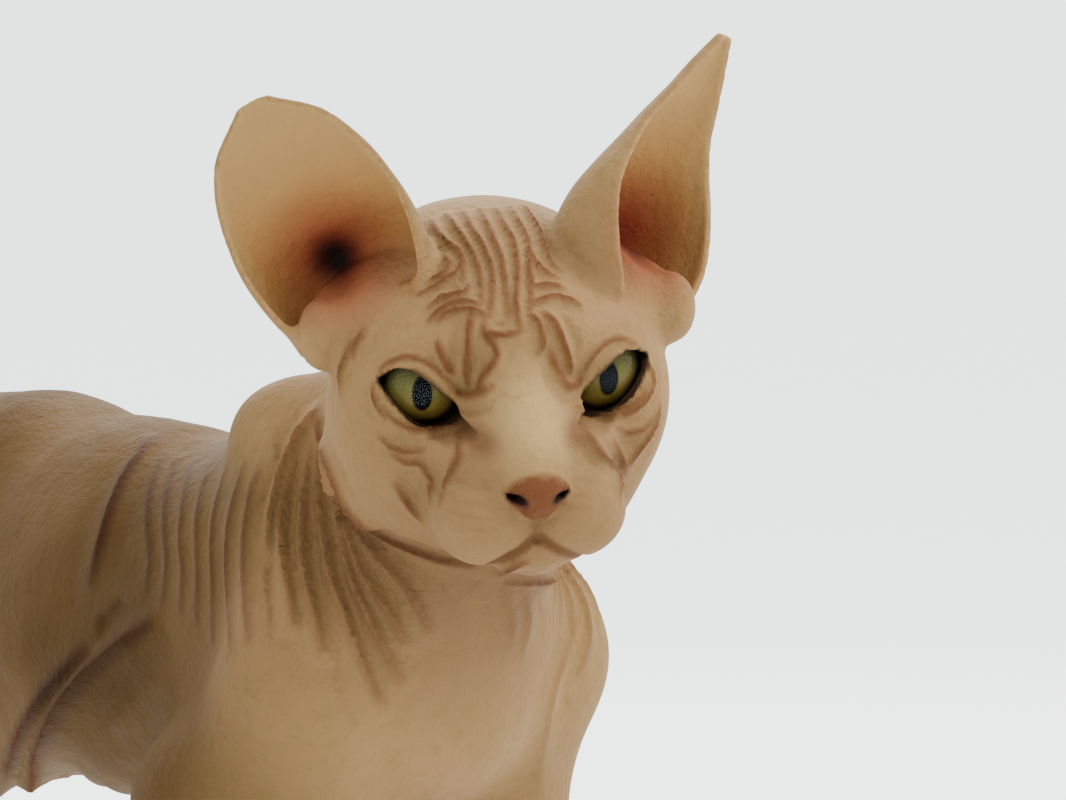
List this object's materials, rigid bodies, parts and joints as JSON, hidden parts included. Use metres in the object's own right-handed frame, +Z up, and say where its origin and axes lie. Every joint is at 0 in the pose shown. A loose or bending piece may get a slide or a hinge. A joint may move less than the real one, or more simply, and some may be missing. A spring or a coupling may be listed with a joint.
{
  "type": "cat model",
  "caption": "Life-size still model of a hairless sphynx cat, standing on four paws with its head low and turned to its right.",
  "frame": {"origin": "floor level, under the centre of the model's bounding box", "axes": "+Z up, -Y the way the body faces, +X the cat's left"},
  "size_m": [0.1401, 0.5564, 0.3422],
  "materials": {
    "skin": "soft bare skin, matt to faintly moist",
    "eye": "wet and clear over an olive iris"
  },
  "bodies": {
    "root": {"head": "skin", "neck": "skin", "chest": "skin", "belly": "skin", "ear_left": "skin", "ear_right": "skin", "nose": "skin", "eye_left": "eye", "eye_right": "eye", "leg_front_left": "skin", "leg_front_right": "skin", "leg_hind_left": "skin", "leg_hind_right": "skin", "paw_front_left": "skin", "paw_front_right": "skin", "paw_hind_left": "skin", "paw_hind_right": "skin", "tail_1": "skin", "tail_2": "skin", "tail_3": "skin"}
  },
  "joints": []
}
